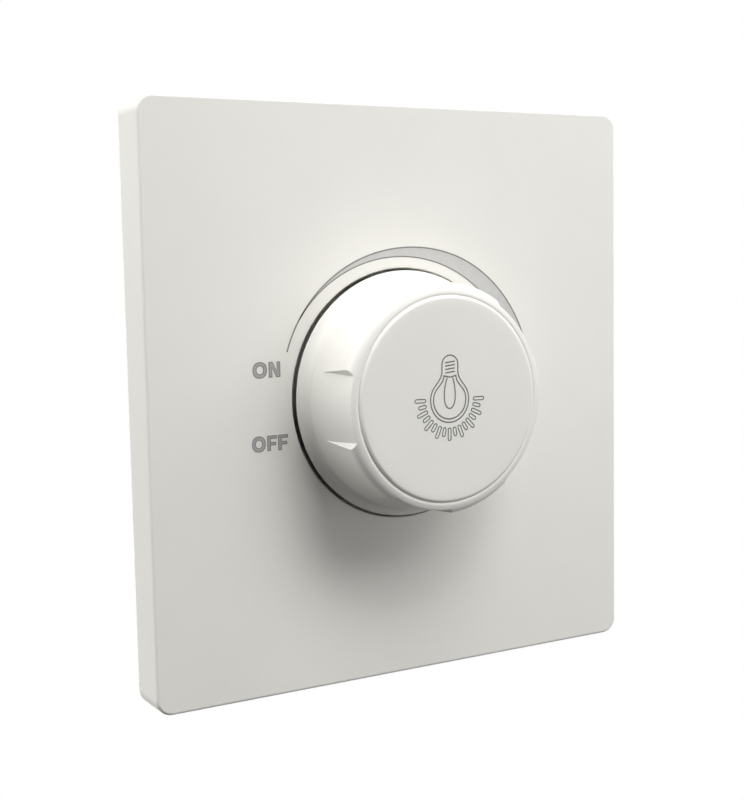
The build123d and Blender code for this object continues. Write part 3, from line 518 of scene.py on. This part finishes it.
# The lamp mark on the cap, drawn about the middle of a bulb that hangs down

MARK_LINE = 0.19
MARK_AT = (-0.12, 0.0)
MARK_TILT = np.radians(-1.2)
GLASS = dict(radius=3.4, neck=1.42, neck_height=4.3)
INNER_GLASS = dict(radius=2.88, neck=1.08, neck_height=3.62)
GLASS_LEAN = np.radians(16)  # where the glass leaves its circle
NECK_PULL = 0.42  # share of the rise to the neck over which the curve keeps its direction
GLASS_POINTS = 40
INNER_TOP = 3.4
SOCKET_HEIGHT = 5.3
SOCKET_CROWN = 1.4
CROWN_POINTS = 16
THREAD_HEIGHTS = (4.15, 4.66, 5.17, 5.68)
THREAD_REACH = 0.84
THREAD_RISE = 0.1
FILAMENT_HALF = ((0.0, -1.3), (1.0, -1.3), (1.35, 0.9), (0.5, 3.32))
RAY_COUNT = 17
RAY_LINE = 0.16
RAY_START = 4.25
LONG_RAY_END = 6.15
SHORT_RAY_END = 5.6
RAY_HALF_WIDTH = 0.25


def bulb_half(radius, neck, neck_height):
    """Right half of a bulb: an arc from its lowest point up to the lean, then a curve into the neck."""
    t = np.linspace(-np.pi / 2, GLASS_LEAN, GLASS_POINTS)
    arc = polar(t, radius)
    reach = NECK_PULL * (neck_height - arc[-1, 1])
    onwards = arc[-1] + reach * np.array([-np.sin(GLASS_LEAN), np.cos(GLASS_LEAN)])
    shoulder = bezier(arc[-1], onwards, (neck, neck_height - reach), (neck, neck_height))
    return np.concatenate([arc, shoulder[1:]])


def capsule(inner, outer, azimuth, half_width):
    """Closed outline of a round-ended dash that lies along a radius."""
    t = np.linspace(-np.pi / 2, np.pi / 2, SMALL_ARC_POINTS)
    far = np.column_stack([outer - half_width + half_width * np.cos(t), half_width * np.sin(t)])
    near = np.column_stack([inner + half_width - half_width * np.cos(t), -half_width * np.sin(t)])
    return rotated(np.concatenate([far, near]), azimuth)


def lamp_mark():
    """The lamp mark: a bulb in two lines, its thread and hairpin filament, and a fan of rays."""
    crown = np.linspace(0, np.pi / 2, CROWN_POINTS)
    socket = np.column_stack([GLASS["neck"] * np.cos(crown), SOCKET_HEIGHT + SOCKET_CROWN * np.sin(crown)])
    outlines = [
        mirrored(np.concatenate([bulb_half(**GLASS), socket])),
        mirrored(np.concatenate([bulb_half(**INNER_GLASS), [(0.0, INNER_TOP)]])),
    ]
    thread = np.array([(-THREAD_REACH, -THREAD_RISE), (THREAD_REACH, THREAD_RISE)])
    hairpin = bezier(*FILAMENT_HALF)
    filament = np.concatenate([(hairpin * (-1, 1))[::-1], hairpin[1:]])
    angles = np.radians(np.linspace(180, 360, RAY_COUNT))
    ends = np.where(np.arange(RAY_COUNT) % 2 == 0, LONG_RAY_END, SHORT_RAY_END)
    rays = [capsule(RAY_START, end, angle, RAY_HALF_WIDTH) for angle, end in zip(angles, ends)]
    lines = [(line, MARK_LINE, True) for line in outlines]
    lines += [(thread + (0, height), MARK_LINE, False) for height in THREAD_HEIGHTS]
    lines += [(filament, MARK_LINE, False)]
    lines += [(line, RAY_LINE, True) for line in rays]
    shapes = [ribbon(rotated(line, MARK_TILT) + MARK_AT, width, loop) for line, width, loop in lines]
    printed("lamp_mark", shapes, CAP_FACE, "knob", "mark_ink")


lamp_mark()


# The bead that closes the fine joint round the cap, as radii and depths behind the cap's face

BEAD_PROFILE = [
    (15.53, 0.33),
    (15.58, 0.375),
    (15.63, 0.4),
    (15.68, 0.41),
    (15.73, 0.405),
    (15.78, 0.385),
    (15.78, 0.6),
    (15.58, 0.6),
]
BEAD_STEPS = 288


def cap_bead():
    """The bead: a closed profile with a hollow front, turned about the knob's axis."""
    radius, depth = np.array(BEAD_PROFILE).T
    points = turned(radius, CAP_FACE + depth, (0, 0), BEAD_STEPS)
    faces = grid_quads(*points.shape[:2], closed_rows=True).tolist()
    smooth_piece("cap_bead", points, faces, ["white_moulding"], "knob")


cap_bead()


# The choke's separate turns of wire, which stand for the plain winding

LEAD_RADIUS = 0.4
CHOKE_AT = (-18.3, 0.0)
CORE_RADIUS = 2.45
LAYER_FRONT = 4.85
LAYER_BACK = 13.35
TURN_COUNT = 12
TURN_RADIUS = 4.6
WIRE_PITCH = (LAYER_BACK - LAYER_FRONT) / TURN_COUNT
LAYER_BASE = TURN_RADIUS - WIRE_PITCH / 2  # radius of the valleys between the turns
TAIL_OFFSET = 5.55  # between the choke's axis and a tail through the board
TAIL_BEND = 0.6
TAIL_DEPTH = 12.95
LAYER_STEPS = 72
TAIL_STEPS = 16


def wire_layer():
    """The layer of wire: a sleeve round the choke's axis that closes along the core.

    Each turn is half a circle: at an angle a from 0 to pi across the wire, the depth goes on by
    pitch (1 - cos a) / 2 and the radius is base + pitch / 2 sin a.
    """
    across = np.linspace(0, np.pi, SMALL_ARC_POINTS)[:-1]
    depth = LAYER_FRONT + WIRE_PITCH * (np.arange(TURN_COUNT)[:, None] + (1 - np.cos(across)) / 2).ravel()
    radius = np.tile(LAYER_BASE + WIRE_PITCH / 2 * np.sin(across), TURN_COUNT)
    depth = np.concatenate([[LAYER_FRONT], depth, [LAYER_BACK, LAYER_BACK]])
    radius = np.concatenate([[CORE_RADIUS], radius, [LAYER_BASE, CORE_RADIUS]])
    points = turned(radius, depth, CHOKE_AT, LAYER_STEPS)
    return points.reshape(-1, 3), grid_quads(*points.shape[:2], closed_rows=True)


def wire_tail(side):
    """A tail below (-1) or above (1) the choke's axis.

    It is a circle carried along a straight run outwards, a quarter bend and a run through the board.
    """
    bend = np.linspace(0, np.pi / 2, SMALL_ARC_POINTS)
    bend_start = TAIL_OFFSET - TAIL_BEND
    outwards = np.concatenate([[LAYER_BASE], bend_start + TAIL_BEND * np.sin(bend), [TAIL_OFFSET]])
    inwards = np.concatenate([[0], TAIL_BEND - TAIL_BEND * np.cos(bend), [LEAD_TIP - TAIL_DEPTH]])
    path = np.column_stack([outwards, inwards])
    slope = np.gradient(path, axis=0)
    slope /= np.linalg.norm(slope, axis=1)[:, None]
    turn = full_turn(TAIL_STEPS)
    x = np.broadcast_to(CHOKE_AT[0] + LEAD_RADIUS * np.sin(turn), (len(path), len(turn)))
    y = TAIL_DEPTH + path[:, None, 1] + LEAD_RADIUS * np.cos(turn) * slope[:, None, 0]
    z = CHOKE_AT[1] + side * (path[:, None, 0] - LEAD_RADIUS * np.cos(turn) * slope[:, None, 1])
    first = np.arange(len(turn))
    last = first + (len(path) - 1) * len(turn)
    faces = grid_quads(*x.shape, flipped=side < 0).tolist() + [first[::-side], last[::side]]
    return np.stack([x, y, z], -1).reshape(-1, 3), faces


def choke_turns():
    """The choke's layer of wire and its two tails, as one piece."""
    points, faces = joined([wire_layer(), wire_tail(-1), wire_tail(1)])
    return smooth_piece("choke_turns", points, faces, ["copper_wire"], "base")


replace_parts(choke_turns(), "choke_winding")


# Solder joints on the board's back

JOINT_HEIGHT = 0.58
JOINT_ROWS = 7
JOINT_STEPS = 24
ROUND_LEAD = (LEAD_RADIUS, LEAD_RADIUS, 1.15, 1.15)  # half sizes across and up, of the lead and of its pad
FLAT_TAG = (0.7, 0.25, 1.45, 1.05)
TRIAC_LEG = (0.25, 0.4, 1.2, 1.05)
WIRE_TAG = (1.3, 0.4, 2.1, 1.2)

choke_leads = [(-18.3, -5.55), (-18.3, 5.55)]
film_leads = [(18.2, -5.0), (18.2, 5.0)]
timing_leads = [(-14.0, -16.2), (-10.0, -16.2), (10.0, -16.2), (14.0, -16.2)]
resistor_leads = [(-15.3, -21.6), (-6.7, -21.6), (6.7, -21.6), (15.3, -21.6)]
diac_leads = [(-3.25, -21.6), (3.25, -21.6)]
fuse_leads = [(12.4, 13.6), (12.4, 22.4)]
wafer_tags = [(-5.0, -14.6), (0.0, -14.6), (5.0, -14.6)]
switch_tags = [(-7.4, 0.0), (7.4, 0.0)]
triac_legs = [(7.1, 15.66), (7.1, 18.2), (7.1, 20.74)]
wire_tags = [(-4.5, -18.6), (4.5, -18.6)]
round_leads = choke_leads + film_leads + timing_leads + resistor_leads + diac_leads + fuse_leads


def solder_joints(sites):
    """Solder round each lead, from sites of x, z and the half sizes of the lead and of its pad.

    At a share h of the joint's height, each half size is lead + (pad - lead) (1 - h)^2, a hollow cone.
    """
    sites = np.array(sites)[:, None]
    lead, pad = sites[..., 2:4], sites[..., 4:6]
    rise = np.linspace(0, 1, JOINT_ROWS)
    turn = full_turn(JOINT_STEPS)
    half = lead + (pad - lead) * (1 - rise)[:, None] ** 2
    x = sites[..., 0, None] + half[..., 0, None] * np.cos(turn)
    z = sites[..., 1, None] + half[..., 1, None] * np.sin(turn)
    y = np.broadcast_to(BOARD_BACK + JOINT_HEIGHT * rise[:, None], x.shape)
    each = len(rise) * len(turn)
    starts = np.arange(len(sites)) * each
    quads = grid_quads(len(rise), len(turn)) + starts[:, None, None]
    feet = starts[:, None] + np.arange(len(turn))
    tips = starts[:, None] + np.arange(each - 1, each - 1 - len(turn), -1)
    faces = quads.reshape(-1, 4).tolist() + feet.tolist() + tips.tolist()
    smooth_piece("solder_joints", np.stack([x, y, z], -1), faces, ["tinned_metal"], "base")


solder_joints(
    [(*site, *ROUND_LEAD) for site in round_leads]
    + [(*site, *FLAT_TAG) for site in wafer_tags + switch_tags]
    + [(*site, *TRIAC_LEG) for site in triac_legs]
    + [(*site, *WIRE_TAG) for site in wire_tags]
)


# Painted bands on the resistors

RESISTOR_CENTRES = np.array([-11.0, 11.0])
RESISTOR_DEPTH = 13.0
RESISTOR_HEIGHT = -21.6
RESISTOR_RADIUS = 1.2
BAND_STARTS = np.array([-1.95, -1.05, -0.15, 1.45])
BAND_WIDTHS = np.array([0.55, 0.55, 0.55, 0.5])
BAND_PAINTS = ["brown_paint", "black_paint", "orange_paint", "gold_paint"]
BAND_PROUD = 0.012
BAND_ROOT = -0.05  # the bands start inside the resistor
BAND_STEPS = 40


def resistor_bands():
    """The bands: each is a thin rectangle turned about its resistor's axis, which lies along x."""
    band_ends = BAND_STARTS + BAND_WIDTHS
    along = np.stack([BAND_STARTS, BAND_STARTS, band_ends, band_ends], -1)
    radius = RESISTOR_RADIUS + np.array([BAND_ROOT, BAND_PROUD, BAND_PROUD, BAND_ROOT])
    turn = full_turn(BAND_STEPS)
    shape = (len(RESISTOR_CENTRES), *along.shape, len(turn))
    x = np.broadcast_to((RESISTOR_CENTRES[:, None, None] + along)[..., None], shape)
    y = np.broadcast_to(RESISTOR_DEPTH + radius[:, None] * np.cos(turn), shape)
    z = np.broadcast_to(RESISTOR_HEIGHT + radius[:, None] * np.sin(turn), shape)
    quads = grid_quads(len(radius), len(turn), closed_rows=True, flipped=True)
    starts = np.arange(shape[0] * shape[1]) * len(radius) * len(turn)
    faces = (quads + starts[:, None, None]).reshape(-1, 4).tolist()
    paint = np.tile(np.arange(len(BAND_PAINTS), dtype=np.int32), len(RESISTOR_CENTRES))
    face_paint = np.repeat(paint, len(quads))
    points = np.stack([x, y, z], -1)
    smooth_piece("resistor_bands", points, faces, BAND_PAINTS, "base", face_paint)


resistor_bands()


# Tinned tracks on the board's back and the potentiometer's carbon track on its wafer

TRACK_WIDTH = 1.2
CARBON_RADIUS = 9.0
CARBON_WIDTH = 2.1
CARBON_ENDS = (-55, 235)  # degrees
CARBON_POINTS = 120

tracks = [
    [wire_tags[0], (-2.5, -16.6), (-2.5, -6.0), (-7.4, -1.1), switch_tags[0]],
    [switch_tags[1], (7.4, 4.0), (12.4, 9.0), fuse_leads[0]],
    [fuse_leads[1], (11.9, 21.9), (-13.2, 21.9), (-14.8, 20.3), (-14.8, 12.5), (-18.3, 9.0), choke_leads[1]],
    [choke_leads[0], (-13.0, -0.3), (-13.0, 6.0), (-6.0, 13.0), (1.6, 13.0), (6.0, 17.4), triac_legs[1]],
    [triac_legs[0], (3.2, 11.8), (3.2, -10.0), (2.5, -10.7), (2.5, -16.6), wire_tags[1]],
    [film_leads[1], (18.2, 9.0), (13.6, 13.6), fuse_leads[0]],
    [wafer_tags[0], timing_leads[1]],
    [timing_leads[2], wafer_tags[2]],
    [resistor_leads[1], diac_leads[0]],
    [diac_leads[1], resistor_leads[2]],
    [resistor_leads[0], timing_leads[0]],
    [timing_leads[3], (18.2, -12.0), film_leads[0]],
]
track_shapes = [ribbon(line, TRACK_WIDTH) for line in tracks]
printed("board_tracks", track_shapes, BOARD_BACK, "base", "tinned_metal", 1)
carbon_line = polar(np.radians(np.linspace(*CARBON_ENDS, CARBON_POINTS)), CARBON_RADIUS)
printed("carbon_track", [ribbon(carbon_line, CARBON_WIDTH)], WAFER_BACK, "base", "carbon_film", 1)


# Studio, in metres

FLOOR_HEIGHT = -0.25
FLOOR_RINGS = np.array([0.0001, 0.2, 0.4, 0.8, 1.6, 3.0])
FLOOR_STEPS = 96
FLOOR_FADE = (0.14, 0.34)  # the distances, from the part, over which the floor turns white
FLOOR_PALE = (0.42, 0.42, 0.42, 1)
FLOOR_GLOW = 0.45
FLOOR_BOUNCE = (0.08, 0.08, 0.08, 1)  # the floor's colour in the light that it throws on the part
WHITE = (1, 1, 1, 1)
SOFTBOXES = {
    # place, target, width and height, power in watts
    "front_right_light": ((0.60, -0.60, 0.15), (0, 0, 0), (0.7, 0.7), 1.0),
    "low_front_light": ((0.35, -0.70, -0.10), (0, 0, 0), (0.6, 0.6), 1.25),
    "high_right_light": ((0.25, -0.45, 0.45), (0, 0, 0), (0.3, 0.3), 1.62),
    "high_front_light": ((0, -0.30, 0.50), (0, 0, 0), (0.2, 0.2), 1.27),
    "middle_front_light": ((0, -0.45, 0.45), (0, -0.01, 0), (0.2, 0.2), 0.4),
    "top_right_light": ((0.15, -0.35, 0.55), (0, -0.01, 0), (0.15, 0.15), 0.42),
    "side_right_light": ((0.45, -0.30, 0.30), (0, -0.01, 0), (0.2, 0.2), 0.43),
    "side_left_light": ((-0.60, 0.15, 0.25), (0, -0.005, 0), (0.4, 0.4), 3.0),
    "top_left_strip": ((-0.30, -0.02, 0.52), (0, -0.01, 0), (0.04, 0.3), 1.85),
    "rear_light": ((0.35, 0.75, 0.40), (0, 0, 0), (0.5, 0.5), 3.0),
}


def stage_branch(nodes, links, seen, unseen, output):
    """Shows one shader to camera, mirror and glass rays and the other to all other light."""
    path = nodes.new("ShaderNodeLightPath")
    sees = nodes.new("ShaderNodeMath")
    sees.operation = "MAXIMUM"
    mirror = nodes.new("ShaderNodeMath")
    mirror.operation = "MAXIMUM"
    links.new(path.outputs["Is Glossy Ray"], mirror.inputs[0])
    links.new(path.outputs["Is Transmission Ray"], mirror.inputs[1])
    links.new(path.outputs["Is Camera Ray"], sees.inputs[0])
    links.new(mirror.outputs[0], sees.inputs[1])
    choose = nodes.new("ShaderNodeMixShader")
    links.new(sees.outputs[0], choose.inputs["Fac"])
    links.new(unseen.outputs[0], choose.inputs[1])
    links.new(seen.outputs[0], choose.inputs[2])
    links.new(choose.outputs[0], output.inputs["Surface"])


def floor_material():
    """Pale near the part, where it shows the part's shadow, and white further off."""
    material = bpy.data.materials.new("floor")
    material.use_nodes = True
    nodes, links = material.node_tree.nodes, material.node_tree.links
    nodes.clear()
    output = nodes.new("ShaderNodeOutputMaterial")
    matt = nodes.new("ShaderNodeBsdfDiffuse")
    matt.inputs["Color"].default_value = FLOOR_BOUNCE
    pale = nodes.new("ShaderNodeBsdfDiffuse")
    pale.inputs["Color"].default_value = FLOOR_PALE
    glow = nodes.new("ShaderNodeEmission")
    glow.inputs["Strength"].default_value = FLOOR_GLOW
    near = nodes.new("ShaderNodeAddShader")
    links.new(pale.outputs[0], near.inputs[0])
    links.new(glow.outputs[0], near.inputs[1])
    white = nodes.new("ShaderNodeEmission")
    white.inputs["Strength"].default_value = 1.0
    place = nodes.new("ShaderNodeTexCoord")
    distance = nodes.new("ShaderNodeVectorMath")
    distance.operation = "LENGTH"
    links.new(place.outputs["Object"], distance.inputs[0])
    fade = nodes.new("ShaderNodeMapRange")
    fade.interpolation_type = "SMOOTHSTEP"
    fade.inputs["From Min"].default_value = FLOOR_FADE[0]
    fade.inputs["From Max"].default_value = FLOOR_FADE[1]
    links.new(distance.outputs["Value"], fade.inputs["Value"])
    seen = nodes.new("ShaderNodeMixShader")
    links.new(fade.outputs["Result"], seen.inputs["Fac"])
    links.new(near.outputs[0], seen.inputs[1])
    links.new(white.outputs[0], seen.inputs[2])
    stage_branch(nodes, links, seen, matt, output)
    return material


def pale_floor():
    """A round, flat floor below the part: rings of points at growing radii."""
    turn = full_turn(FLOOR_STEPS)
    x = FLOOR_RINGS[:, None] * np.cos(turn)
    y = FLOOR_RINGS[:, None] * np.sin(turn)
    points = np.stack([x, y, np.full_like(x, FLOOR_HEIGHT)], -1)
    mesh = bpy.data.meshes.new("floor")
    mesh.from_pydata(points.reshape(-1, 3).tolist(), [], grid_quads(*x.shape).tolist())
    mesh.materials.append(floor_material())
    floor = bpy.data.objects.new("floor", mesh)
    bpy.context.scene.collection.objects.link(floor)


def white_surround():
    """World: white where it is seen, and dark for all other light, which is left to the lamps."""
    world = bpy.data.worlds.new("surround")
    bpy.context.scene.world = world
    world.use_nodes = True
    nodes, links = world.node_tree.nodes, world.node_tree.links
    nodes.clear()
    output = nodes.new("ShaderNodeOutputWorld")
    seen = nodes.new("ShaderNodeBackground")
    seen.inputs["Color"].default_value = WHITE
    seen.inputs["Strength"].default_value = 1.0
    dark = nodes.new("ShaderNodeBackground")
    dark.inputs["Color"].default_value = WHITE
    dark.inputs["Strength"].default_value = 0.0
    stage_branch(nodes, links, seen, dark, output)


def looking(where, target):
    """Axes of a lamp that stands at a point and looks at another: right, up and back."""
    back = np.array(where, float) - np.array(target, float)
    back /= np.linalg.norm(back)
    right = np.cross((0, 0, 1), back)
    right /= np.linalg.norm(right)
    return right, np.cross(back, right), back


def stand(thing, where, right, up, back):
    """Puts a lamp or camera at a point, with its own axes given."""
    columns = np.column_stack([right, up, back, where])
    thing.matrix_world = Matrix(np.vstack([columns, [0, 0, 0, 1]]).tolist())


def softbox(name, where, target, size, power):
    """A rectangular lamp that looks at a target."""
    lamp = bpy.data.lights.new(name, "AREA")
    lamp.shape = "RECTANGLE"
    lamp.size, lamp.size_y = size
    lamp.energy = power
    holder = bpy.data.objects.new(name, lamp)
    bpy.context.scene.collection.objects.link(holder)
    stand(holder, where, *looking(where, target))


pale_floor()
white_surround()
for name, setting in SOFTBOXES.items():
    softbox(name, *setting)


# Camera, from the fit to the plate's edges and the knob's opening

SENSOR_WIDTH = 36.0
FOCAL_LENGTH = 61.77
NEAR_CLIP = 5.0
CAMERA_AT = np.array([-112.54, -192.38, 20.63])
VIEW_RIGHT = (0.86499, -0.50141, -0.01926)
VIEW_UP = (0.06643, 0.07638, 0.99486)
VIEW_BACK = (-0.49737, -0.86183, 0.09937)

camera_data = bpy.data.cameras.new("camera")
camera_data.sensor_width = SENSOR_WIDTH
camera_data.lens = FOCAL_LENGTH
camera_data.clip_start = NEAR_CLIP * MM
camera = bpy.data.objects.new("camera", camera_data)
bpy.context.scene.collection.objects.link(camera)
stand(camera, CAMERA_AT * MM, VIEW_RIGHT, VIEW_UP, VIEW_BACK)
bpy.context.scene.camera = camera
bpy.context.scene.view_settings.view_transform = "Standard"
